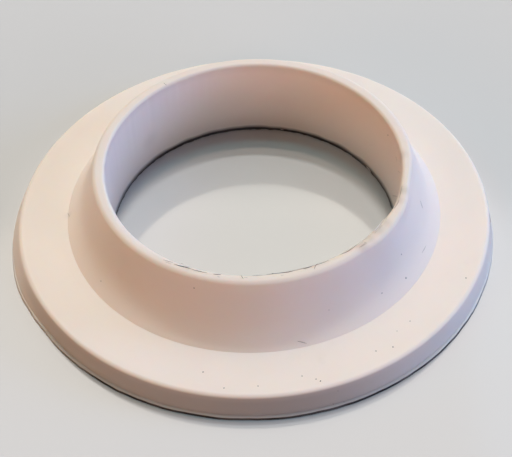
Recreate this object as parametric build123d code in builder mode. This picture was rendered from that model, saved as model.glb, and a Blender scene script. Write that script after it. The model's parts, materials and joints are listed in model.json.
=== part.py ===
"""One-piece rubber sealing ring: a flat flange with a hollow-sided, tapered neck around a straight bore."""
from build123d import *
import os
from math import radians, tan

os.makedirs("parts", exist_ok=True)

# Driving sizes, in millimetres and degrees
bore_diameter = 41.6  # straight hole through the ring
lip_width = 1.65  # from the bore to where the neck's slope would meet the crest
neck_rise = 9.0  # crest of the lip above the top of the flange
neck_spread = 4.55  # how much further out the neck's foot is than its top
flange_width = 7.65  # from the neck's foot to the foot of the outer wall
flange_thickness = 3.7
wall_draft = 9.0  # inward lean of the flange's outer wall, from vertical

# Rounds, hollows and edges
lip_inner_round = 0.9
lip_outer_round = 0.7
neck_hollow = 0.35  # depth of the neck's inward curve below a straight cone
rim_round = 0.8
bore_foot_chamfer = 0.25

# Moulding flash: a thin fin all round the foot of the outer wall, tapering to its edge
fin_reach = 0.3
fin_root_thickness = 0.4
fin_edge_thickness = 0.12
fin_lift = 0.15  # height of the fin's underside above the ring's underside

# Radii and heights that follow from the driving sizes
bore_radius = bore_diameter / 2
lip_corner_radius = bore_radius + lip_width
neck_foot_radius = lip_corner_radius + neck_spread
wall_foot_radius = neck_foot_radius + flange_width
fin_edge_radius = wall_foot_radius + fin_reach
wall_foot = fin_lift + fin_root_thickness
wall_top_radius = wall_foot_radius - (flange_thickness - wall_foot) * tan(radians(wall_draft))
crest = flange_thickness + neck_rise

# The section's corners that are rounded or chamfered, as (radius, height)
bore_foot = (bore_radius, 0)
lip_inner_corner = (bore_radius, crest)
lip_outer_corner = (lip_corner_radius, crest)
rim_corner = (wall_top_radius, flange_thickness)


def corner_of(sketch, place):
    """The section's vertex that lies at a named corner."""
    return sketch.vertices().sort_by_distance(place)[0]


# The ring is one moulding, turned about the bore's axis from a single section
with BuildPart() as gasket:
    with BuildSketch(Plane.XZ) as section:
        with BuildLine():
            # Lip: up the bore and across the crest
            Polyline(bore_foot, lip_inner_corner, lip_outer_corner)
            # Neck: an arc that hangs inside the straight cone and ends in a crease
            neck = SagittaArc(lip_outer_corner, (neck_foot_radius, flange_thickness), -neck_hollow)
            # Flange: its flat top and drafted outer wall
            flange = Polyline(neck @ 1, rim_corner, (wall_foot_radius, wall_foot))
            # Flash fin at the wall's foot, just clear of the underside
            fin = Polyline(
                flange @ 1,
                (fin_edge_radius, fin_lift + fin_edge_thickness),
                (fin_edge_radius, fin_lift),
                (wall_foot_radius, fin_lift),
            )
            # Underside: flat from the wall back to the bore
            Polyline(fin @ 1, (wall_foot_radius, 0), bore_foot)
        make_face()
        fillet(corner_of(section, lip_inner_corner), lip_inner_round)
        fillet(corner_of(section, lip_outer_corner), lip_outer_round)
        fillet(corner_of(section, rim_corner), rim_round)
        chamfer(corner_of(section, bore_foot), bore_foot_chamfer)
    revolve(axis=Axis.Z)

gasket.part.label = "gasket"
export_step(gasket.part, "parts/gasket.step")
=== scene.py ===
"""Tapered rubber gasket: the look of one moulded rubber ring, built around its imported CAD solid."""

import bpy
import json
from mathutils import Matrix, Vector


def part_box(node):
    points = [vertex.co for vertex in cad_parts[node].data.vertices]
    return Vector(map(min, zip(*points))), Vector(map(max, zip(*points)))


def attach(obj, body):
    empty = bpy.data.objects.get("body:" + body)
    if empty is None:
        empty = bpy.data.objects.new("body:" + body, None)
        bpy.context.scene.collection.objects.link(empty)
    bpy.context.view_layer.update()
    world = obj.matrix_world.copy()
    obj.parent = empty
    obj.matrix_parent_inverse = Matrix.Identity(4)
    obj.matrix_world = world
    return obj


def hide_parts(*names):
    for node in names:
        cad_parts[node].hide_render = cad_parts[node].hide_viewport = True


bl_info = {
    "name": "Tapered rubber gasket",
    "version": (1, 0, 0),
    "blender": (4, 5, 0),
    "location": "View3D > Sidebar > Gasket",
    "description": "Builds a moulded rubber gasket with its flash and marks, on a plain stage",
    "category": "Add Mesh",
}

import json
import math

import bmesh
import bpy
from bpy.props import FloatProperty, FloatVectorProperty, IntProperty, PointerProperty
from mathutils import Matrix, Vector, noise
from mathutils.bvhtree import BVHTree

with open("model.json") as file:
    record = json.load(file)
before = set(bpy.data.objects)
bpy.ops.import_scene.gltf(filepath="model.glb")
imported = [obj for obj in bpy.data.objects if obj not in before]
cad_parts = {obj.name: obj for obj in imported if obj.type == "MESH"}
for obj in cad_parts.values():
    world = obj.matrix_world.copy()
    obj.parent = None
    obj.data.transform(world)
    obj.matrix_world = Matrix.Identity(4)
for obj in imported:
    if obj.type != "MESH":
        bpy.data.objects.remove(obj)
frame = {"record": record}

MM = 0.001
PHOTO_WIDTH = 512
PHOTO_HEIGHT = 457
SENSOR_WIDTH = 36

_, CAD_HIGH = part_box("gasket")
MOUNTS = {mount["name"]: mount for mount in frame["record"]["mounts"]}
CAD_BORE_RADIUS = MOUNTS["bore"]["dims"]["r_mm"] * MM
CAD_FLANGE_THICKNESS = MOUNTS["flange_top"]["pos_m"][2]


class GasketSizes(bpy.types.PropertyGroup):
    """Sizes of the ring, in metres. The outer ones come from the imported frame."""

    outer_radius: FloatProperty(
        name="Outer radius", description="Out to the edge of the flash fin",
        default=CAD_HIGH.x, subtype="DISTANCE", unit="LENGTH",
    )
    height: FloatProperty(
        name="Height", description="Underside to the crest of the lip",
        default=CAD_HIGH.z, subtype="DISTANCE", unit="LENGTH",
    )
    bore_radius: FloatProperty(
        name="Bore radius", description="Radius of the straight bore",
        default=CAD_BORE_RADIUS, subtype="DISTANCE", unit="LENGTH",
    )
    flange_thickness: FloatProperty(
        name="Flange thickness", description="Underside to the flat top of the flange",
        default=CAD_FLANGE_THICKNESS, subtype="DISTANCE", unit="LENGTH",
    )
    lip_width: FloatProperty(
        name="Lip width", description="Bore to where the neck's slope meets the crest",
        default=1.65 * MM, subtype="DISTANCE", unit="LENGTH",
    )
    flange_width: FloatProperty(
        name="Flange width", description="Neck's foot to the foot of the outer wall",
        default=7.65 * MM, subtype="DISTANCE", unit="LENGTH",
    )
    lip_inner_round: FloatProperty(
        name="Lip inner round", description="Radius between the bore and the crest",
        default=0.9 * MM, subtype="DISTANCE", unit="LENGTH",
    )
    lip_outer_round: FloatProperty(
        name="Lip outer round", description="Radius between the crest and the neck",
        default=0.7 * MM, subtype="DISTANCE", unit="LENGTH",
    )
    neck_hollow: FloatProperty(
        name="Neck hollow", description="Depth of the neck's inward curve",
        default=0.62 * MM, subtype="DISTANCE", unit="LENGTH",
    )
    rim_round: FloatProperty(
        name="Rim round", description="Radius along the flange's upper outer edge",
        default=0.6 * MM, subtype="DISTANCE", unit="LENGTH",
    )
    wall_lean: FloatProperty(
        name="Wall lean", description="How far the outer wall leans in towards its top",
        default=0.7 * MM, subtype="DISTANCE", unit="LENGTH",
    )
    fin_reach: FloatProperty(
        name="Fin reach", description="How far the flash fin stands out of the wall's foot",
        default=0.3 * MM, subtype="DISTANCE", unit="LENGTH",
    )
    fin_lift: FloatProperty(
        name="Fin lift", description="Underside of the fin above the underside of the ring",
        default=0.27 * MM, subtype="DISTANCE", unit="LENGTH",
    )
    fin_root_thickness: FloatProperty(
        name="Fin root thickness", description="Thickness of the fin where it leaves the wall",
        default=0.3 * MM, subtype="DISTANCE", unit="LENGTH",
    )
    fin_edge_thickness: FloatProperty(
        name="Fin edge thickness", description="Thickness of the fin at its edge",
        default=0.14 * MM, subtype="DISTANCE", unit="LENGTH",
    )
    # The spread foot carries the painted black contact shade
    foot_spread: FloatProperty(
        name="Foot spread", description="How far the dirty foot stands out beyond the fin's edge",
        default=0.10 * MM, subtype="DISTANCE", unit="LENGTH",
    )
    burr_reach: FloatProperty(
        name="Burr reach", description="How far the burr at the bore's foot stands inwards",
        default=0.18 * MM, subtype="DISTANCE", unit="LENGTH",
    )
    # The burr carries the painted black contact shade
    burr_rise: FloatProperty(
        name="Burr rise", description="How far the dirty burr climbs the bore",
        default=0.2 * MM, subtype="DISTANCE", unit="LENGTH",
    )
    # Height on the bore where the painted black contact shade ends
    foot_shade_top: FloatProperty(
        name="Dirt fade", description="Height on the bore at which the dirt ends",
        default=0.85 * MM, subtype="DISTANCE", unit="LENGTH",
    )
    turns: IntProperty(
        name="Turn steps", description="Steps of the section round the bore's axis", default=420,
    )
    rubber_colour: FloatVectorProperty(
        name="Rubber colour", description="Colour of the clean rubber",
        default=(0.785, 0.685, 0.614), subtype="COLOR", size=3, min=0, max=1,
    )
    # Colour of the dirt and the specks, and of the painted shade on the wall, the lip and the dark
    # threads
    dirt_and_shade_colour: FloatVectorProperty(
        name="Dirt colour", description="Colour of the handling dirt and of the specks",
        default=(0.10, 0.098, 0.10), subtype="COLOR", size=3, min=0, max=1,
    )
    # Colour of the painted black contact shade along the two lower edges
    foot_shade_colour: FloatVectorProperty(
        name="Foot dirt colour", description="Colour of the black dirt along the two lower edges",
        default=(0.045, 0.038, 0.036), subtype="COLOR", size=3, min=0, max=1,
    )


class StageSettings(bpy.types.PropertyGroup):
    """Where the camera stands, and the colours round the ring."""

    elevation: FloatProperty(
        name="Elevation", description="Camera's line of sight above the table",
        default=math.radians(46.56), subtype="ANGLE", unit="ROTATION",
    )
    azimuth: FloatProperty(
        name="Azimuth", description="Camera's line of sight, turned from +Y towards +X",
        default=math.radians(0.11), subtype="ANGLE", unit="ROTATION",
    )
    roll: FloatProperty(
        name="Roll", description="Camera's turn about its line of sight, clockwise",
        default=math.radians(2.14), subtype="ANGLE", unit="ROTATION",
    )
    distance: FloatProperty(
        name="Distance", description="Camera to the point it looks at",
        default=177.25 * MM, subtype="DISTANCE", unit="LENGTH",
    )
    lens: FloatProperty(
        name="Lens", description="Focal length on a 36 mm wide frame, in millimetres",
        default=84.63, subtype="DISTANCE_CAMERA", unit="CAMERA",
    )
    table_colour: FloatVectorProperty(
        name="Table colour", description="Colour of the floor",
        default=(0.50, 0.495, 0.491), subtype="COLOR", size=3, min=0, max=1,
    )
    backdrop_colour: FloatVectorProperty(
        name="Backdrop colour", description="Colour of the world behind the floor",
        default=(0.60, 0.60, 0.60), subtype="COLOR", size=3, min=0, max=1,
    )
    ambient_colour: FloatVectorProperty(
        name="Ambient light", description="Even light from all round, where 1 is full light",
        default=(0.0, 0.0, 0.0), subtype="COLOR", size=3, min=0, max=2,
    )


# Angles round the ring are in degrees, turned from +X towards +Y. An arc is its middle, how far
# it holds in full to either side, and how far out it has faded. A bump is its middle, how far out
# it has faded, and its size. A wave is its size, its number of lobes and its seed.

# The section: its longest edge, and the edges' angle above which the turned skin is shaded sharp
SECTION_SPACING = 0.8 * MM
SHARP_ANGLE = math.radians(32)

# Slack when telling on which line of the section a vertex lies
HAIR = 0.0018 * MM

# Share of the neck's slope, from its foot, that curves; above it the slope is straight
NECK_BEND = 0.45

# Uneven lip: how far its crest tips, shifts and waves
LIP_TIP = 0.26 * MM
LIP_SHIFT = 0.10 * MM
LIP_LEVEL_WAVES = ((0.035 * MM, 7, 5.3),)

# Where the lip's inner round is worn wide, and the share of it that is left elsewhere
LIP_WORN_ARC = (-95, 48, 72)
LIP_TIGHT_ROUND = 0.5

# Where the crest is wider and narrower. That grows with the distance from the bore and with the
# share of the neck's height.
LIP_WIDTH_BUMPS = ((-41, 12, 0.30 * MM), (-14, 24, -0.52 * MM))
LIP_WIDTH_WAVES = ((0.05 * MM, 9, 3.1),)
LIP_WIDTH_SIDE = (0.5 * MM, 1.6 * MM)
LIP_WIDTH_RISE = (0.3, 1.0)

# Where the whole lip opens out. That grows with the share of the neck's height.
LIP_OPEN_BUMPS = ((-12, 40, 0.14 * MM), (-26, 15, 0.36 * MM))
LIP_OPEN_WAVES = ((0.04 * MM, 14, 8.7),)
LIP_OPEN_RISE = (0.75, 1.0)

# Ragged burr at the bore's foot, and the ragged edge of the painted black contact shade above it
BURR_WAVES = ((0.12 * MM, 110, 2.9), (0.10 * MM, 300, 9.2))
SHADE_EDGE_WAVES = ((0.25, 60, 7.3),)

# Ragged fin: its edge, its height, and from where outside the wall's foot it wanders
FIN_EDGE_BUMPS = ((-2, 46, -0.20 * MM),)
FIN_EDGE_WAVES = ((0.08 * MM, 60, 1.7), (0.05 * MM, 170, 6.1))
FIN_LIFT_WAVES = ((0.04 * MM, 24, 4.4),)
FIN_START = -0.05 * MM

# Where the mould leaked, how far that spreads the foot and lifts the fin, and how far in the wall
# is moved, as a share of its lean
LEAK_ARC = (180, 18, 36)
LEAK_SPREAD = 0.55 * MM
LEAK_LIFT = 0.15 * MM
LEAK_DEPTH = 1.2

# Painted shade that darkens and greys the outer wall: how much it hides the rubber, and where it is
# stronger and weaker
WALL_SHADE = 0.36
WALL_SHADE_BUMPS = ((-92, 48, 0.6),)
WALL_SHADE_WAVES = ((0.25, 11, 2.2),)
WALL_LIT_BUMPS = ((180, 40, 0.8), (-28, 48, 0.8))

# Outwards from the wall's foot: where the painted shade begins, and where it thins over the fin
WALL_SHADE_START = (-0.9 * MM, -0.6 * MM)
FIN_SHADE_FADE = (0.02 * MM, 0.2 * MM)
FIN_SHADE_LOSS = 0.4

# Heights from the flange's top between which the painted shade on the wall ends
RIM_SHADE_FADE = (-0.6 * MM, -0.02 * MM)

# Painted shade that greys the lip's crest: how much it hides the rubber, and the heights from the
# crest where it begins
LIP_SHADE = 0.09
LIP_SHADE_START = (-0.8 * MM, -0.2 * MM)

# The painted black contact shade in the bore: how far into the rubber it is looked for, where it
# fades as shares of the burr's rise and of the shade's height, and the arc outside which it is weaker
BORE_SHADE_DEPTH = 0.05 * MM
BORE_SHADE_FADE = (1.3, 0.9)
BORE_SHADE_ARC = (90, 35, 75)
BORE_SHADE_LOSS = 0.45

# The painted black contact shade at the wall's foot: where it lies, its ragged strength, and how far
# it goes above the fin's underside and inside the fin's edge
WALL_FOOT_SHADE_ARC = (-82, 40, 72)
WALL_FOOT_SHADE_WAVES = ((0.25, 90, 5.5),)
WALL_FOOT_SHADE_RISE = 0.07 * MM
WALL_FOOT_SHADE_DEPTH = 0.25 * MM

# Point on the floor that the camera looks at
AIM = Vector((0.23 * MM, -1.19 * MM, 0))

# Where each soft lamp hangs, its size at 1 m, and the share of full light it gives. The table
# and the rubber mirror only the lamps in MIRRORED.
LAMP_DISTANCE = 2.5
TUBE = dict(azimuth=6, width=0.14, height=0.045)
LOW_PANE = dict(elevation=15, width=0.46, height=0.46)
LAMPS = {
    "lower_tube": dict(TUBE, elevation=63.5, light=(0.363, 0.372, 0.371)),
    "upper_tube": dict(TUBE, elevation=70, light=(0.26, 0.205, 0.174)),
    "ceiling_glow": dict(
        azimuth=6, elevation=77, width=0.20, height=0.10, light=(0.079, 0.147, 0.152),
    ),
    "rear_window": dict(
        azimuth=4, elevation=55, width=0.95, height=0.36, light=(0.165, 0.143, 0.123),
    ),
    "rear_wall": dict(
        azimuth=2, elevation=37.5, width=1.6, height=0.30, light=(0.11, 0.096, 0.083),
    ),
    "side_pane": dict(
        azimuth=38, elevation=46, width=0.5, height=0.6, light=(0.010, 0.022, 0.036),
    ),
    "right_window": dict(LOW_PANE, azimuth=90, light=(0.152, 0.29, 0.60)),
    "right_bounce": dict(LOW_PANE, azimuth=135, light=(0.25, 0.25, 0.305)),
    "front_bounce": dict(LOW_PANE, azimuth=225, light=(0.28, 0.135, 0.055)),
    "left_bounce": dict(LOW_PANE, azimuth=-90, light=(0.085, 0.03, 0.002)),
    "left_window": dict(
        azimuth=-90, elevation=40, width=0.42, height=0.42, light=(0.012, 0.064, 0.077),
    ),
}
MIRRORED = {"rear_window", "rear_wall", "side_pane"}


# Marks and loose flash, each placed by pixels of the photograph's frame

# Specks on the surface: x, y and width in millimetres
SPECKS = (
    (101, 281, 0.18), (194, 288, 0.17), (401.4, 254.4, 0.18), (406, 278, 0.26), (382, 293, 0.17),
    (329, 310, 0.12), (466, 278, 0.21), (410, 321, 0.17), (397, 331, 0.15), (393, 347, 0.2),
    (376, 351, 0.2), (203, 372, 0.21), (224, 388, 0.2), (258, 386, 0.17), (302, 376, 0.18),
    (316, 379, 0.17), (320.5, 381, 0.22), (338, 391, 0.12), (333, 404, 0.14), (344, 402, 0.12),
    (388, 135, 0.22),
)

# Dark threads along the lip's inner edge: dirt on torn flash, with painted shadow where pale strands
# of flash lie over the edge. The places each passes, then its width
LIP_DIRT_AND_SHADE_THREADS = (
    (((163.4, 260), (168, 261.4), (173, 262.9)), 0.06),
    (((166, 262.2), (171, 264.2)), 0.05),
    (((174.4, 264.6), (181, 266.4), (187.3, 267.9), (190.9, 269.3)), 0.09),
    (((190.9, 269.3), (198, 271.4), (207.3, 273.2)), 0.09),
    (((213.4, 274.5), (217, 274.9), (220.9, 275)), 0.10),
    (((217.5, 276.8), (220, 277.2)), 0.06),
    (((240.8, 275.2), (242, 277.3), (243.2, 279)), 0.09),
    (((244, 277.5), (247.5, 277.6)), 0.05),
    (((252.4, 275.9), (258, 275.7), (262.3, 275.4)), 0.07),
    (((265.9, 275), (272.6, 274.3), (281.6, 273.2)), 0.08),
    (((280, 273.4), (289.3, 272.6), (297.9, 270.5), (306.4, 268.7), (313.6, 266.2)), 0.11),
    (((281, 275.8), (283.6, 275.4)), 0.06),
    (((313.6, 266.2), (320, 264.1), (328.6, 260.9)), 0.08),
    (((317, 262.2), (315.4, 265.9), (314.2, 269.4)), 0.09),
    (((340.4, 254.8), (346, 252.4), (351, 249.8), (356.6, 245.2)), 0.07),
    (((359.8, 242.2), (363.2, 243.6), (366, 242.8)), 0.06),
    (((359.5, 247.4), (362.4, 246), (366.6, 243)), 0.05),
    (((374.6, 233.4), (377, 231)), 0.05),
    (((379.2, 228.6), (381, 226.6), (382.3, 225)), 0.04),
    (((380.7, 221.8), (383, 218.8)), 0.08),
    (((386, 219.6), (387.6, 217)), 0.05),
    (((402.4, 186), (401.3, 190), (400.4, 194.5), (399.4, 198)), 0.05),
    (((399.2, 200.5), (397.8, 204.2), (396, 206.2)), 0.07),
    (((397.2, 204.8), (395, 207.4), (393.8, 209)), 0.05),
    (((181.2, 264.3), (182.6, 264.8)), 0.15),
    (((271.8, 273.9), (273.4, 274)), 0.18),
)

# Dark strokes on the bore's wall, just under the lip
BORE_MARKS = (
    (((392.6, 195.8), (395.2, 195.6), (397, 196.6)), 0.07),
    (((396, 157), (396.8, 161)), 0.05),
    (((398.4, 171.4), (400, 172.6)), 0.06),
)

# Pale strands of flash that still hang on the lip, then those at the foot of the bore
LIP_STRANDS = (
    (((357.5, 246.5), (362, 241.2), (367, 237.4)), 0.14),
    (((373.2, 232.8), (376.5, 229.3), (380.4, 224.8), (384.2, 219.4)), 0.20),
    (((176, 263.2), (182, 264.8), (188.5, 267.2)), 0.10),
    (((283, 271.8), (296, 269.6), (308, 266.8)), 0.10),
)
BORE_FOOT_STRANDS = (
    (((366.2, 166.6), (368.2, 168.6), (369.4, 171.6)), 0.20),
    (((280.6, 129.2), (283.4, 130.2)), 0.16),
    (((171, 136.8), (175, 135.2)), 0.12),
)

# Fine scratches on the neck, and a nick on the lip's far edge
SCRATCHES = (
    (((297.5, 341.2), (302, 341.8), (306.5, 343.6)), 0.07),
    (((425.6, 246), (424.2, 249.8), (421.6, 253)), 0.05),
    (((420.2, 200.6), (421.4, 204.4), (422.6, 208.2)), 0.05),
    (((164, 83.4), (166.4, 85.2)), 0.14),
    (((67.8, 213.2), (69.6, 216.6)), 0.09),
)

# Dark ragged ends of the fin on the right, with a painted shadow along the fin's edge there
FIN_DIRT_AND_SHADE_THREADS = (
    (((480.4, 191.4), (481.4, 193.4), (482.6, 196.2)), 0.14),
    (((487.4, 212.6), (489.2, 217), (490.2, 222.4)), 0.10),
)

# A speck's flattened shape, its turn from the one before, and how uneven and how fine its skin is
SPECK_SHAPE = (1.0, 0.75, 0.35)
SPECK_TURN = 2.4
SPECK_RELIEF = 0.35
SPECK_GRAIN = 0.12 * MM

# Share of a thread's width that is left at its two ends
THREAD_TIP = 0.35

# A thread is seated where its ray comes nearest to the ring. The ray is searched in this many
# steps between two heights: from the crest for the lip, from the table and from the fin's
# underside for the fin, and from the table for the bore's foot, where threads keep clear of it.
RAY_STEPS = 40
LIP_HEIGHTS = (-0.9 * MM, 0.4 * MM)
FIN_HEIGHTS = (0.3 * MM, 0.5 * MM)
BORE_FOOT_HEIGHTS = (0.2 * MM, 1.8 * MM)
BORE_FOOT_CLEAR = 0.12 * MM

# Soft smudges: x, y, reach in millimetres and strength
SMUDGES = (
    (401, 157, 1.6, 0.20), (403, 190, 1.4, 0.22), (399, 200, 1.2, 0.18), (150, 140, 2.2, 0.10),
    (362, 246, 1.3, 0.22), (370, 238, 1.2, 0.16), (378, 230, 1.4, 0.22), (69, 215, 0.9, 0.14),
    (187, 268, 0.9, 0.12), (386, 222, 1.2, 0.16), (124, 262, 2.5, 0.03), (440, 330, 4.0, 0.03),
)


def smoothstep(low, high, value):
    """0 below low, 1 above high, and a smooth rise between."""
    share = min(max((value - low) / (high - low), 0.0), 1.0)
    return share * share * (3 - 2 * share)


def round_noise(angle, lobes, seed):
    """Smooth noise round a full turn, from -1 to 1, with about that many lobes."""
    spread = lobes / math.tau
    return noise.noise(Vector((spread * math.cos(angle), spread * math.sin(angle), seed)))


# Camera and rays


def camera_turn(stage):
    """The camera's rotation as a 3x3 matrix."""
    unrolled = (
        Matrix.Rotation(-stage.azimuth, 3, "Z")
        @ Matrix.Rotation(math.pi / 2 - stage.elevation, 3, "X")
    )
    return unrolled @ Matrix.Rotation(-stage.roll, 3, "Z")


def camera_place(stage):
    """Where the camera stands."""
    return AIM + camera_turn(stage) @ Vector((0, 0, stage.distance))


def pixel_ray(stage, x, y):
    """Direction of the ray through a pixel of the photograph's frame."""
    pixels_per_unit = stage.lens / SENSOR_WIDTH * PHOTO_WIDTH
    across = (x - PHOTO_WIDTH / 2) / pixels_per_unit
    down = (y - PHOTO_HEIGHT / 2) / pixels_per_unit
    return (camera_turn(stage) @ Vector((across, -down, -1))).normalized()


# Shader node groups


def new_group(name, inputs, outputs):
    """An empty shader node group with named sockets, and its input and output nodes."""
    tree = bpy.data.node_groups.new(name, "ShaderNodeTree")
    for socket, kind, default in inputs:
        item = tree.interface.new_socket(socket, in_out="INPUT", socket_type=kind)
        if default is not None:
            item.default_value = default
    for socket, kind in outputs:
        tree.interface.new_socket(socket, in_out="OUTPUT", socket_type=kind)
    return tree, tree.nodes.new("NodeGroupInput"), tree.nodes.new("NodeGroupOutput")


def feed(tree, socket, value):
    """Links another socket to a socket, or sets it to a number or a colour."""
    if isinstance(value, bpy.types.NodeSocket):
        tree.links.new(value, socket)
    else:
        socket.default_value = value


def math_node(tree, operation, first, second=None, third=None):
    """A Math node whose inputs are sockets or numbers, and its output."""
    node = tree.nodes.new("ShaderNodeMath")
    node.operation = operation
    for socket, value in zip(node.inputs, (first, second, third)):
        if value is not None:
            feed(tree, socket, value)
    return node.outputs[0]


def mix_colours(tree, factor, first, second):
    """A colour Mix node whose inputs are sockets, numbers or colours, and its output."""
    node = tree.nodes.new("ShaderNodeMix")
    node.data_type = "RGBA"
    for index, value in ((0, factor), (6, first), (7, second)):
        feed(tree, node.inputs[index], value)
    return node.outputs[2]


def noise_at(tree, vector, size, detail):
    """Noise with features of about that size in metres, from a socket or a number."""
    node = tree.nodes.new("ShaderNodeTexNoise")
    node.inputs["Detail"].default_value = detail
    tree.links.new(vector, node.inputs["Vector"])
    tree.links.new(math_node(tree, "DIVIDE", 1.0, size), node.inputs["Scale"])
    return node.outputs["Fac"]


def cloudy_tint_group():
    """A colour that drifts a little lighter, darker and pinker over the surface."""
    tree, enter, leave = new_group(
        "Cloudy Tint",
        [("Vector", "NodeSocketVector", None), ("Colour", "NodeSocketColor", None),
         ("Size", "NodeSocketFloat", 6 * MM), ("Drift", "NodeSocketFloat", 0.05)],
        [("Colour", "NodeSocketColor")],
    )
    cloud = noise_at(tree, enter.outputs["Vector"], enter.outputs["Size"], 3.0)
    swing = math_node(tree, "MULTIPLY", math_node(tree, "SUBTRACT", cloud, 0.5), 2.0)
    amount = math_node(tree, "MULTIPLY", swing, enter.outputs["Drift"])
    shade = tree.nodes.new("ShaderNodeHueSaturation")
    tree.links.new(enter.outputs["Colour"], shade.inputs["Color"])
    tree.links.new(math_node(tree, "ADD", amount, 1.0), shade.inputs["Value"])
    tree.links.new(math_node(tree, "SUBTRACT", 1.0, amount), shade.inputs["Saturation"])
    tree.links.new(shade.outputs["Color"], leave.inputs["Colour"])
    return tree


def mould_grain_group():
    """Height of a fine moulded skin: soft grain with a few shallow pores."""
    tree, enter, leave = new_group(
        "Mould Grain",
        [("Vector", "NodeSocketVector", None), ("Size", "NodeSocketFloat", 0.25 * MM),
         ("Pores", "NodeSocketFloat", 0.5)],
        [("Height", "NodeSocketFloat")],
    )
    grain = noise_at(tree, enter.outputs["Vector"], enter.outputs["Size"], 4.0)
    wide = math_node(tree, "MULTIPLY", enter.outputs["Size"], 6.0)
    pits = tree.nodes.new("ShaderNodeTexVoronoi")
    tree.links.new(enter.outputs["Vector"], pits.inputs["Vector"])
    tree.links.new(math_node(tree, "DIVIDE", 1.0, wide), pits.inputs["Scale"])
    floor = tree.nodes.new("ShaderNodeMapRange")
    floor.interpolation_type = "SMOOTHSTEP"
    floor.inputs["From Min"].default_value = 0.0
    floor.inputs["From Max"].default_value = 0.16
    floor.inputs["To Min"].default_value = -1.0
    floor.inputs["To Max"].default_value = 0.0
    tree.links.new(pits.outputs["Distance"], floor.inputs["Value"])
    pores = math_node(tree, "MULTIPLY", floor.outputs["Result"], enter.outputs["Pores"])
    tree.links.new(math_node(tree, "ADD", grain, pores), leave.inputs["Height"])
    return tree


def turned_marks_group():
    """Height of the faint rings that the turned mould leaves, about the Z axis."""
    tree, enter, leave = new_group(
        "Turned Marks",
        [("Vector", "NodeSocketVector", None), ("Pitch", "NodeSocketFloat", 0.3 * MM)],
        [("Height", "NodeSocketFloat")],
    )
    split = tree.nodes.new("ShaderNodeSeparateXYZ")
    tree.links.new(enter.outputs["Vector"], split.inputs["Vector"])
    flat = tree.nodes.new("ShaderNodeCombineXYZ")
    tree.links.new(split.outputs["X"], flat.inputs["X"])
    tree.links.new(split.outputs["Y"], flat.inputs["Y"])
    length = tree.nodes.new("ShaderNodeVectorMath")
    length.operation = "LENGTH"
    tree.links.new(flat.outputs["Vector"], length.inputs[0])
    along = tree.nodes.new("ShaderNodeCombineXYZ")
    tree.links.new(length.outputs["Value"], along.inputs["X"])
    tree.links.new(split.outputs["Z"], along.inputs["Z"])
    rings = noise_at(tree, along.outputs["Vector"], enter.outputs["Pitch"], 2.0)
    tree.links.new(rings, leave.inputs["Height"])
    return tree


def smudge_group():
    """Mask of soft, patchy smudges where the ring was handled."""
    tree, enter, leave = new_group(
        "Smudge",
        [("Vector", "NodeSocketVector", None), ("Size", "NodeSocketFloat", 4 * MM),
         ("Cover", "NodeSocketFloat", 0.3)],
        [("Mask", "NodeSocketFloat")],
    )
    patches = noise_at(tree, enter.outputs["Vector"], enter.outputs["Size"], 5.0)
    threshold = math_node(tree, "SUBTRACT", 1.0, enter.outputs["Cover"])
    edge = tree.nodes.new("ShaderNodeMapRange")
    edge.interpolation_type = "SMOOTHSTEP"
    tree.links.new(patches, edge.inputs["Value"])
    tree.links.new(threshold, edge.inputs["From Min"])
    tree.links.new(math_node(tree, "ADD", threshold, 0.2), edge.inputs["From Max"])
    tree.links.new(edge.outputs["Result"], leave.inputs["Mask"])
    return tree


def shared_group(name, build):
    """A node group by name, built the first time it is asked for."""
    return bpy.data.node_groups.get(name) or build()


def place_group(tree, name, build, vector, **values):
    """Puts a shared group in a material, with its own values."""
    node = tree.nodes.new("ShaderNodeGroup")
    node.node_tree = shared_group(name, build)
    tree.links.new(vector, node.inputs["Vector"])
    for socket, value in values.items():
        node.inputs[socket].default_value = value
    return node


# Materials


def new_material(name):
    """A material with its node tree, its Principled BSDF and its Object coordinates."""
    material = bpy.data.materials.new(name)
    material.use_nodes = True
    tree = material.node_tree
    coordinates = tree.nodes.new("ShaderNodeTexCoord")
    mapping = tree.nodes.new("ShaderNodeMapping")
    tree.links.new(coordinates.outputs["Object"], mapping.inputs["Vector"])
    return material, tree, tree.nodes["Principled BSDF"], mapping.outputs["Vector"]


def opaque(colour):
    """A colour property as the four numbers that a colour socket takes."""
    return (*colour, 1.0)


def painted(tree, name):
    """The value that the mesh carries under a name at each vertex."""
    node = tree.nodes.new("ShaderNodeAttribute")
    node.attribute_name = name
    return node.outputs["Fac"]


def add_bump(tree, shader, height, strength, distance):
    """Roughens the shader's normals by a height, over a distance in metres."""
    bump = tree.nodes.new("ShaderNodeBump")
    bump.inputs["Strength"].default_value = strength
    bump.inputs["Distance"].default_value = distance
    tree.links.new(height, bump.inputs["Height"])
    tree.links.new(bump.outputs["Normal"], shader.inputs["Normal"])


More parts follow.
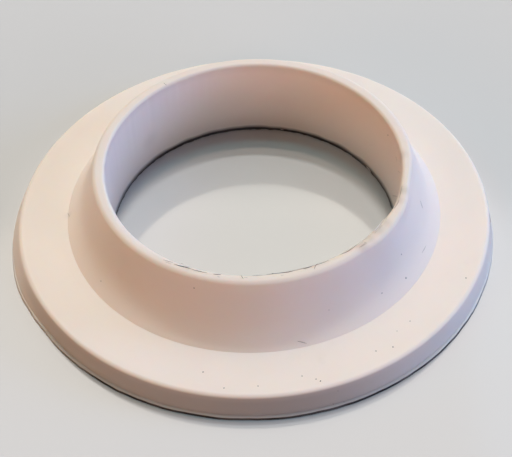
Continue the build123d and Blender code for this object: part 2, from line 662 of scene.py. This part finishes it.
def rubber_material(sizes, name="pale_rubber", grain=0.25 * MM):
    """Pale pinkish-beige rubber: matt, cloudy, finely grained, with dirt and painted shade where the
    mesh says so.
    """
    material, tree, shader, vector = new_material(name)
    tint = place_group(tree, "Cloudy Tint", cloudy_tint_group, vector, Size=7 * MM, Drift=0.02,
                       Colour=opaque(sizes.rubber_colour))
    smudge = place_group(tree, "Smudge", smudge_group, vector, Size=5 * MM, Cover=0.36)
    handled = math_node(tree, "MULTIPLY", smudge.outputs["Mask"], 0.06)
    smudged = mix_colours(tree, handled, tint.outputs["Colour"], opaque(sizes.dirt_and_shade_colour))
    # Smudges of dirt, and painted shade on the outer wall and on the lip's crest, from the mesh
    dirtied_and_shaded = mix_colours(tree, painted(tree, "grime_and_shade"), smudged, opaque(sizes.dirt_and_shade_colour))
    # Painted black contact shade along the bore's foot and the wall's foot, from the mesh; it also
    # dulls the rubber
    foot_shade = painted(tree, "foot_shade")
    colour = mix_colours(tree, foot_shade, dirtied_and_shaded, opaque(sizes.foot_shade_colour))
    tree.links.new(colour, shader.inputs["Base Color"])
    dulled = math_node(tree, "MULTIPLY_ADD", foot_shade, 0.4, 0.56)
    smeared = math_node(tree, "MULTIPLY", smudge.outputs["Mask"], 0.04)
    roughness = math_node(tree, "ADD", dulled, smeared)
    tree.links.new(roughness, shader.inputs["Roughness"])
    shader.inputs["Specular IOR Level"].default_value = 0.4
    shader.inputs["Subsurface Weight"].default_value = 0.4
    shader.inputs["Subsurface Radius"].default_value = (1.0, 0.55, 0.35)
    shader.inputs["Subsurface Scale"].default_value = 3 * MM
    skin = place_group(tree, "Mould Grain", mould_grain_group, vector, Size=grain, Pores=0.35)
    rings = place_group(tree, "Turned Marks", turned_marks_group, vector, Pitch=0.35 * MM)
    ridges = math_node(tree, "MULTIPLY", rings.outputs["Height"], 0.6)
    height = math_node(tree, "ADD", skin.outputs["Height"], ridges)
    add_bump(tree, shader, height, strength=0.35, distance=0.012 * MM)
    return material


def dirt_and_shade_material(sizes):
    """Dull dark dirt that fills specks, scratches and torn edges, and painted shadow beside the torn
    flash.
    """
    found = bpy.data.materials.get("dark_dirt_and_shade")
    if found:
        return found
    material, tree, shader, vector = new_material("dark_dirt_and_shade")
    tint = place_group(tree, "Cloudy Tint", cloudy_tint_group, vector, Size=0.3 * MM, Drift=0.3,
                       Colour=opaque(sizes.dirt_and_shade_colour))
    tree.links.new(tint.outputs["Colour"], shader.inputs["Base Color"])
    shader.inputs["Roughness"].default_value = 0.8
    shader.inputs["Specular IOR Level"].default_value = 0.25
    skin = place_group(tree, "Mould Grain", mould_grain_group, vector, Size=0.06 * MM, Pores=0.2)
    add_bump(tree, shader, skin.outputs["Height"], strength=0.4, distance=0.01 * MM)
    return material


def table_material(stage):
    """Pale, faintly glossy table top."""
    material, tree, shader, vector = new_material("table_top")
    tint = place_group(tree, "Cloudy Tint", cloudy_tint_group, vector, Size=30 * MM, Drift=0.01,
                       Colour=opaque(stage.table_colour))
    tree.links.new(tint.outputs["Colour"], shader.inputs["Base Color"])
    shader.inputs["Roughness"].default_value = 0.10
    shader.inputs["Specular IOR Level"].default_value = 1.0
    return material


# Meshes


def finish_mesh(bm, name, material, body="root"):
    """Writes a bmesh to a new object with its material and lets it ride on a body."""
    mesh = bpy.data.meshes.new(name)
    bm.to_mesh(mesh)
    bm.free()
    mesh.materials.append(material)
    piece = bpy.data.objects.new(name, mesh)
    bpy.context.scene.collection.objects.link(piece)
    if body:
        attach(piece, body)
    return piece


def section_corners(sizes):
    """The section's sharp corners by name, in order round the outline, in the XZ plane."""
    wall_foot_radius = sizes.outer_radius - sizes.fin_reach
    corners = {
        "foot_shade_top": (sizes.bore_radius, sizes.foot_shade_top),
        "burr_top": (sizes.bore_radius, sizes.burr_rise),
        "burr_foot": (sizes.bore_radius - sizes.burr_reach, 0),
        "wall_under": (sizes.outer_radius + sizes.foot_spread, 0),
        "fin_edge_under": (sizes.outer_radius, sizes.fin_lift),
        "fin_edge_over": (sizes.outer_radius, sizes.fin_lift + sizes.fin_edge_thickness),
        "wall_foot": (wall_foot_radius, sizes.fin_lift + sizes.fin_root_thickness),
        "rim": (wall_foot_radius - sizes.wall_lean, sizes.flange_thickness),
        "neck_foot": (wall_foot_radius - sizes.flange_width, sizes.flange_thickness),
        "lip_outer": (sizes.bore_radius + sizes.lip_width, sizes.height),
        "lip_inner": (sizes.bore_radius, sizes.height),
    }
    return {name: Vector((radius, 0, height)) for name, (radius, height) in corners.items()}


def vert_at(bm, place):
    """The vertex nearest to a place."""
    return min(bm.verts, key=lambda vert: (vert.co - place).length_squared)


def round_corner(bm, place, radius, segments):
    """Rounds one corner of the section to a radius."""
    corner = vert_at(bm, place)
    one, other = [edge.other_vert(corner).co - corner.co for edge in corner.link_edges]
    turn = math.pi - one.angle(other)
    bmesh.ops.bevel(
        bm, geom=[corner], offset=radius * math.tan(turn / 2), offset_type="OFFSET",
        segments=segments, profile=0.5, affect="VERTICES", material=-1,
    )


def bow_neck(bm, foot, top, hollow):
    """Cuts the neck's straight edge into even lengths and bows it inwards, most near its foot."""
    chord = top - foot
    inward = Vector((-chord.z, 0, chord.x)).normalized()
    if inward.x > 0:
        inward.negate()
    edge = bm.edges.get((vert_at(bm, foot), vert_at(bm, top)))
    cut = bmesh.ops.subdivide_edges(bm, edges=[edge], cuts=int(chord.length / SECTION_SPACING))
    for vert in cut["geom_inner"]:
        share = (vert.co - foot).length / chord.length
        if share > NECK_BEND:
            depth = (1 - share) / (1 - NECK_BEND)
        else:
            rise = share / NECK_BEND
            depth = rise + (rise - rise * rise) / (1 - NECK_BEND)
        vert.co += inward * hollow * depth


def section_outline(bm, sizes):
    """Draws the section as a closed outline: hollow neck, rounded corners and even lengths."""
    corners = section_corners(sizes)
    bm.faces.new([bm.verts.new(place) for place in corners.values()])
    bow_neck(bm, corners["neck_foot"], corners["lip_outer"], sizes.neck_hollow)
    round_corner(bm, corners["lip_inner"], sizes.lip_inner_round, segments=8)
    round_corner(bm, corners["lip_outer"], sizes.lip_outer_round, segments=8)
    round_corner(bm, corners["rim"], sizes.rim_round, segments=10)
    bmesh.ops.delete(bm, geom=bm.faces[:], context="FACES_ONLY")
    while long_edges := [edge for edge in bm.edges if edge.calc_length() > SECTION_SPACING]:
        bmesh.ops.subdivide_edges(bm, edges=long_edges, cuts=1)


def turn_section(bm, turns):
    """Spins the outline a full turn about the bore's axis and closes the skin."""
    bmesh.ops.spin(
        bm, geom=bm.verts[:] + bm.edges[:], cent=(0, 0, 0), axis=(0, 0, 1), angle=math.tau,
        steps=turns, use_merge=True, use_duplicate=False,
    )
    bmesh.ops.remove_doubles(bm, verts=bm.verts[:], dist=0.001 * MM)
    bmesh.ops.recalc_face_normals(bm, faces=bm.faces[:])


def turned_apart(angle, centre):
    """How far an angle lies from another round the bore's axis, in degrees, from 0 to 180."""
    return abs((math.degrees(angle) - centre + 180) % 360 - 180)


def arc_at(angle, middle, full, faded):
    """1 along an arc round the ring, falling smoothly to 0 beyond each of its ends."""
    return 1 - smoothstep(full, faded, turned_apart(angle, middle))


def bumps_at(angle, bumps):
    """The sum of some bumps at an angle round the ring."""
    return sum(size * arc_at(angle, middle, 0, faded) for middle, faded, size in bumps)


def waves_at(angle, waves):
    """The sum of some waves at an angle round the ring."""
    return sum(size * round_noise(angle, lobes, seed) for size, lobes, seed in waves)


def wear_inner_round(bm, sizes):
    """Keeps the lip's inner round wide along the worn front, and tightens it elsewhere."""
    corner = sizes.lip_inner_round + HAIR
    for vert in bm.verts:
        radius = vert.co.xy.length
        inward = radius - sizes.bore_radius
        drop = sizes.height - vert.co.z
        if inward > corner or drop > corner:
            continue
        worn = arc_at(math.atan2(vert.co.y, vert.co.x), *LIP_WORN_ARC)
        keep = LIP_TIGHT_ROUND + (1 - LIP_TIGHT_ROUND) * worn
        vert.co.xy *= (sizes.bore_radius + inward * keep) / radius
        vert.co.z = sizes.height - drop * keep


def settle_lip(bm, sizes):
    """Tips the crest a little, shifts it and lets its width and height wander."""
    neck_height = sizes.height - sizes.flange_thickness
    for vert in bm.verts:
        share = (vert.co.z - sizes.flange_thickness) / neck_height
        if share <= 0:
            continue
        radius = vert.co.xy.length
        angle = math.atan2(vert.co.y, vert.co.x)
        outer = smoothstep(*LIP_WIDTH_SIDE, radius - sizes.bore_radius)
        widen = outer * smoothstep(*LIP_WIDTH_RISE, share) * (
            bumps_at(angle, LIP_WIDTH_BUMPS) + waves_at(angle, LIP_WIDTH_WAVES)
        )
        open_up = smoothstep(*LIP_OPEN_RISE, share) * (
            bumps_at(angle, LIP_OPEN_BUMPS) + waves_at(angle, LIP_OPEN_WAVES)
        )
        lift = share * (LIP_TIP * vert.co.y / radius + waves_at(angle, LIP_LEVEL_WAVES))
        vert.co.xy *= (radius + widen + open_up) / radius
        vert.co.x += share * LIP_SHIFT
        vert.co.z += lift


def roughen_burr(bm, sizes):
    """Lets the burr and the edge of the painted contact shade wander, and the bore's top where the
    lip leans over it.
    """
    for vert in bm.verts:
        radius = vert.co.xy.length
        angle = math.atan2(vert.co.y, vert.co.x)
        inside = sizes.bore_radius - radius
        if inside > HAIR:
            reach = inside / sizes.burr_reach
            vert.co.xy *= (radius + reach * waves_at(angle, BURR_WAVES)) / radius
        elif inside > -HAIR and vert.co.z < sizes.foot_shade_top + HAIR:
            vert.co.z += vert.co.z * waves_at(angle, SHADE_EDGE_WAVES)


def roughen_fin(bm, sizes):
    """Lets the fin wander, and spreads the wall's foot where the mould leaked."""
    wall_foot_radius = sizes.outer_radius - sizes.fin_reach
    for vert in bm.verts:
        radius = vert.co.xy.length
        if radius < wall_foot_radius - sizes.wall_lean * LEAK_DEPTH:
            continue
        angle = math.atan2(vert.co.y, vert.co.x)
        leak = arc_at(angle, *LEAK_ARC)
        drop = max(1 - vert.co.z / sizes.flange_thickness, 0)
        reach = smoothstep(FIN_START, sizes.fin_reach, radius - wall_foot_radius)
        spread = leak * drop * (LEAK_SPREAD + (1 - reach) * sizes.fin_reach) + reach * (
            waves_at(angle, FIN_EDGE_WAVES) + bumps_at(angle, FIN_EDGE_BUMPS)
        )
        vert.co.xy *= (radius + spread) / radius
        if vert.co.z > HAIR:
            vert.co.z += reach * (waves_at(angle, FIN_LIFT_WAVES) + LEAK_LIFT * leak)


def ring_mesh(sizes):
    """The whole ring as a closed bmesh, with its worn lip and its ragged fin."""
    bm = bmesh.new()
    section_outline(bm, sizes)
    turn_section(bm, sizes.turns)
    wear_inner_round(bm, sizes)
    settle_lip(bm, sizes)
    roughen_burr(bm, sizes)
    roughen_fin(bm, sizes)
    bm.normal_update()
    return bm


# Places on the ring


def ring_tree():
    """The finished ring's surface, for finding places on it."""
    bm = bmesh.new()
    bm.from_mesh(bpy.data.objects["rubber_ring"].data)
    tree = BVHTree.FromBMesh(bm)
    bm.free()
    return tree


def seen_on_ring(stage, tree, x, y):
    """Place and normal where a pixel's ray first meets the ring."""
    place, normal, _, _ = tree.ray_cast(camera_place(stage), pixel_ray(stage, x, y))
    if place is None:
        raise RuntimeError(f"The ray through pixel {x}, {y} misses the ring")
    return place, normal


def nearest_on_ring(stage, tree, x, y, low, high):
    """Place and normal on the ring nearest to a pixel's ray, between two heights of the ray."""
    start = camera_place(stage)
    ray = pixel_ray(stage, x, y)
    found = []
    for step in range(RAY_STEPS + 1):
        height = high + (low - high) * step / RAY_STEPS
        place, normal, _, gap = tree.find_nearest(start + ray * ((height - start.z) / ray.z))
        found.append((gap, step, place, normal))
    return min(found)[2:]


def thread_between(places, width, sink):
    """A thin tapering thread through places on the ring, partly sunk in it, as a mesh."""
    curve = bpy.data.curves.new("thread", "CURVE")
    curve.dimensions = "3D"
    curve.bevel_depth = width / 2
    curve.bevel_resolution = 1
    curve.resolution_u = 4
    curve.use_fill_caps = True
    spline = curve.splines.new("NURBS")
    spline.points.add(len(places) - 1)
    for index, (point, (place, normal)) in enumerate(zip(spline.points, places)):
        point.co = (*(place + normal * width * (0.5 - sink)), 1)
        point.radius = THREAD_TIP if index in (0, len(places) - 1) else 1.0
    spline.order_u = 3
    spline.use_endpoint_u = True
    holder = bpy.data.objects.new("thread", curve)
    mesh = bpy.data.meshes.new_from_object(holder)
    bpy.data.objects.remove(holder)
    bpy.data.curves.remove(curve)
    return mesh


def threads_mesh(threads, seat, sink=0.25):
    """Threads seated on the ring, in one bmesh."""
    bm = bmesh.new()
    for pixels, width in threads:
        mesh = thread_between([seat(x, y) for x, y in pixels], width * MM, sink)
        bm.from_mesh(mesh)
        bpy.data.meshes.remove(mesh)
    bmesh.ops.recalc_face_normals(bm, faces=bm.faces[:])
    return bm


def add_speck(bm, place, normal, width, seed):
    """Presses one small uneven grain into the surface."""
    lean = normal.to_track_quat("Z", "Y").to_matrix().to_4x4()
    flat = Matrix.Diagonal((*SPECK_SHAPE, 1.0))
    turn = Matrix.Rotation(seed * SPECK_TURN, 4, "Z")
    grain = bmesh.ops.create_icosphere(
        bm, subdivisions=2, radius=width / 2,
        matrix=Matrix.Translation(place) @ lean @ turn @ flat,
    )
    for vert in grain["verts"]:
        relief = noise.noise(vert.co / SPECK_GRAIN + Vector((seed, 0, 0)))
        vert.co += (vert.co - place) * SPECK_RELIEF * relief


class GASKET_OT_set_stage(bpy.types.Operator):
    """Add the camera, the soft lamps, the world and a plain pale floor"""

    bl_idname = "gasket.set_stage"
    bl_label = "Set Stage"

    def execute(self, context):
        stage = context.scene.gasket_stage
        self.add_camera(context, stage)
        self.add_world(context, stage)
        self.add_floor(context, stage)
        for name, lamp in LAMPS.items():
            self.add_lamp(context, name, **lamp)
        context.scene.view_settings.view_transform = "Standard"
        return {"FINISHED"}

    def add_camera(self, context, stage):
        """The camera, where the photograph was taken from."""
        data = bpy.data.cameras.new("photo_camera")
        data.sensor_width = SENSOR_WIDTH
        data.lens = stage.lens
        data.clip_start = 10 * MM
        camera = bpy.data.objects.new("photo_camera", data)
        camera.matrix_world = Matrix.Translation(camera_place(stage)) @ camera_turn(stage).to_4x4()
        context.scene.collection.objects.link(camera)
        context.scene.camera = camera

    def add_world(self, context, stage):
        """A world whose backdrop is seen, but whose own light is only the ambient colour."""
        world = bpy.data.worlds.new("studio")
        world.use_nodes = True
        tree = world.node_tree
        light = tree.nodes["Background"]
        light.inputs["Color"].default_value = opaque(stage.ambient_colour)
        seen = tree.nodes.new("ShaderNodeBackground")
        seen.inputs["Color"].default_value = opaque(stage.backdrop_colour)
        path = tree.nodes.new("ShaderNodeLightPath")
        direct = path.outputs["Is Camera Ray"]
        for ray in ("Is Transmission Ray", "Is Glossy Ray"):
            direct = math_node(tree, "ADD", direct, path.outputs[ray])
        shown = tree.nodes.new("ShaderNodeMixShader")
        tree.links.new(direct, shown.inputs["Fac"])
        tree.links.new(light.outputs["Background"], shown.inputs[1])
        tree.links.new(seen.outputs["Background"], shown.inputs[2])
        tree.links.new(shown.outputs["Shader"], tree.nodes["World Output"].inputs["Surface"])
        context.scene.world = world

    def add_floor(self, context, stage):
        """The plain table top, which stays on the stage."""
        bm = bmesh.new()
        bmesh.ops.create_grid(bm, x_segments=8, y_segments=8, size=1.5)
        floor = finish_mesh(bm, "floor", table_material(stage), body=None)

    def add_lamp(self, context, name, azimuth, elevation, width, height, light):
        """An oval soft lamp that gives that share of full light to a surface facing it."""
        strength = max(light)
        data = bpy.data.lights.new(name, "AREA")
        data.shape = "ELLIPSE"
        data.size = width * LAMP_DISTANCE
        data.size_y = height * LAMP_DISTANCE
        data.color = [share / strength for share in light]
        data.energy = strength * math.pi ** 2 * LAMP_DISTANCE ** 2
        turn = (
            Matrix.Rotation(-math.radians(azimuth), 3, "Z")
            @ Matrix.Rotation(-math.radians(90 - elevation), 3, "X")
        )
        lamp = bpy.data.objects.new(name, data)
        lamp.matrix_world = Matrix.Translation(turn @ Vector((0, 0, LAMP_DISTANCE))) @ turn.to_4x4()
        lamp.visible_glossy = name in MIRRORED
        context.scene.collection.objects.link(lamp)


class GASKET_OT_add_ring(bpy.types.Operator):
    """Add the moulded rubber ring in place of its CAD solid"""

    bl_idname = "gasket.add_ring"
    bl_label = "Add Ring"

    def execute(self, context):
        sizes = context.scene.gasket_sizes
        ring = finish_mesh(ring_mesh(sizes), "rubber_ring", rubber_material(sizes))
        ring.data.shade_smooth()
        ring.data.set_sharp_from_angle(angle=SHARP_ANGLE)
        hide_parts("gasket")
        self.mark_dirt_and_shade(context.scene.gasket_stage, sizes, ring)
        return {"FINISHED"}

    def mark_dirt_and_shade(self, stage, sizes, ring):
        """Writes on each vertex how black the painted contact shade at the foot is, then how thick
        the smudges of dirt and the painted shade on the wall and the lip are.
        """
        tree = ring_tree()
        smudges = [
            (seen_on_ring(stage, tree, x, y)[0], reach * MM, strength)
            for x, y, reach, strength in SMUDGES
        ]
        foot_shade = ring.data.attributes.new("foot_shade", "FLOAT", "POINT")
        for vert, mark in zip(ring.data.vertices, foot_shade.data):
            mark.value = self.foot_shade(sizes, vert.co)
        grime_and_shade = ring.data.attributes.new("grime_and_shade", "FLOAT", "POINT")
        for vert, mark in zip(ring.data.vertices, grime_and_shade.data):
            amount = sum(
                strength * (1 - smoothstep(0, reach, (vert.co - place).length))
                for place, reach, strength in smudges
            )
            # The smudges are dirt; the wall's and the lip's shares are painted shade
            amount += self.wall_shade(sizes, vert.co) + self.lip_shade(sizes, vert.co)
            mark.value = min(amount, 1.0)

    def lip_shade(self, sizes, place):
        """Painted shade that greys the lip's crest."""
        return LIP_SHADE * smoothstep(*LIP_SHADE_START, place.z - sizes.height)

    def wall_shade(self, sizes, place):
        """Painted shade that darkens and greys the flange's outer wall, most along its front."""
        angle = math.atan2(place.y, place.x)
        beyond_foot = place.xy.length - (sizes.outer_radius - sizes.fin_reach)
        on_wall = smoothstep(*WALL_SHADE_START, beyond_foot)
        on_wall *= 1 - FIN_SHADE_LOSS * smoothstep(*FIN_SHADE_FADE, beyond_foot)
        below_rim = 1 - smoothstep(*RIM_SHADE_FADE, place.z - sizes.flange_thickness)
        patchy = 1 + waves_at(angle, WALL_SHADE_WAVES) + bumps_at(angle, WALL_SHADE_BUMPS)
        patchy *= 1 - bumps_at(angle, WALL_LIT_BUMPS)
        return WALL_SHADE * on_wall * below_rim * patchy

    def foot_shade(self, sizes, place):
        """Painted black contact shade along the foot of the bore, and along the wall's foot at the
        front.
        """
        angle = math.atan2(place.y, place.x)
        radius = place.xy.length
        if radius < sizes.bore_radius + BORE_SHADE_DEPTH:
            full, faded = BORE_SHADE_FADE
            fade = 1 - smoothstep(sizes.burr_rise * full, sizes.foot_shade_top * faded, place.z)
            weaker = BORE_SHADE_LOSS * (1 - arc_at(angle, *BORE_SHADE_ARC))
            return fade * (1 - weaker * smoothstep(0, sizes.burr_rise, place.z))
        above_fin = place.z > sizes.fin_lift + WALL_FOOT_SHADE_RISE
        if above_fin or radius < sizes.outer_radius - WALL_FOOT_SHADE_DEPTH:
            return 0.0
        front = arc_at(angle, *WALL_FOOT_SHADE_ARC)
        return min(front * (1 + waves_at(angle, WALL_FOOT_SHADE_WAVES)), 1.0)


class GASKET_OT_add_specks(bpy.types.Operator):
    """Add the dark specks and fine scratches on the surface"""

    bl_idname = "gasket.add_specks"
    bl_label = "Add Specks And Scratches"

    def execute(self, context):
        sizes = context.scene.gasket_sizes
        stage = context.scene.gasket_stage
        tree = ring_tree()
        dark = dirt_and_shade_material(sizes)
        specks = bmesh.new()
        for seed, (x, y, width) in enumerate(SPECKS):
            add_speck(specks, *seen_on_ring(stage, tree, x, y), width * MM, seed)
        specks.normal_update()
        finish_mesh(specks, "surface_specks", dark)
        scratches = threads_mesh(
            SCRATCHES + BORE_MARKS, lambda x, y: seen_on_ring(stage, tree, x, y),
        )
        finish_mesh(scratches, "fine_scratches", dark)
        return {"FINISHED"}


class GASKET_OT_add_flash(bpy.types.Operator):
    """Add the torn mould flash along the lip, the bore's foot and the fin"""

    bl_idname = "gasket.add_flash"
    bl_label = "Add Torn Flash"

    def execute(self, context):
        sizes = context.scene.gasket_sizes
        stage = context.scene.gasket_stage
        tree = ring_tree()
        dark = dirt_and_shade_material(sizes)
        pale = rubber_material(sizes, "pale_flash", 0.1 * MM)

        def on_lip(x, y):
            low, high = LIP_HEIGHTS
            return nearest_on_ring(stage, tree, x, y, sizes.height + low, sizes.height + high)

        def on_fin(x, y):
            low, high = FIN_HEIGHTS
            return nearest_on_ring(stage, tree, x, y, low, sizes.fin_lift + high)

        def on_bore_foot(x, y):
            place, normal = nearest_on_ring(stage, tree, x, y, *BORE_FOOT_HEIGHTS)
            place.z = max(place.z, BORE_FOOT_CLEAR)
            return place, normal

        # Dark threads of dirt and painted shadow beside the torn flash on the lip
        finish_mesh(threads_mesh(LIP_DIRT_AND_SHADE_THREADS, on_lip, sink=-0.2), "lip_dirt_and_shade_threads", dark)
        finish_mesh(threads_mesh(LIP_STRANDS, on_lip, sink=0.1), "lip_strands", pale)
        # Dark ragged ends of the fin, and painted shadow along its edge
        finish_mesh(threads_mesh(FIN_DIRT_AND_SHADE_THREADS, on_fin), "fin_dirt_and_shade_threads", dark)
        finish_mesh(threads_mesh(BORE_FOOT_STRANDS, on_bore_foot), "bore_foot_strands", pale)
        return {"FINISHED"}


class GASKET_PT_panel(bpy.types.Panel):
    """Lists the steps that build the gasket"""

    bl_idname = "GASKET_PT_panel"
    bl_label = "Tapered Rubber Gasket"
    bl_space_type = "VIEW_3D"
    bl_region_type = "UI"
    bl_category = "Gasket"

    def draw(self, context):
        layout = self.layout
        for operator in OPERATORS:
            layout.operator(operator.bl_idname)


OPERATORS = (
    GASKET_OT_set_stage, GASKET_OT_add_ring, GASKET_OT_add_specks, GASKET_OT_add_flash,
)
CLASSES = (GasketSizes, StageSettings, *OPERATORS, GASKET_PT_panel)


def register():
    for cls in CLASSES:
        bpy.utils.register_class(cls)
    bpy.types.Scene.gasket_sizes = PointerProperty(type=GasketSizes)
    bpy.types.Scene.gasket_stage = PointerProperty(type=StageSettings)


def unregister():
    del bpy.types.Scene.gasket_stage
    del bpy.types.Scene.gasket_sizes
    for cls in reversed(CLASSES):
        bpy.utils.unregister_class(cls)


def main():
    register()
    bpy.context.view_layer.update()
    bpy.ops.gasket.set_stage()
    bpy.ops.gasket.add_ring()
    bpy.ops.gasket.add_specks()
    bpy.ops.gasket.add_flash()


if __name__ == "__main__":
    main()
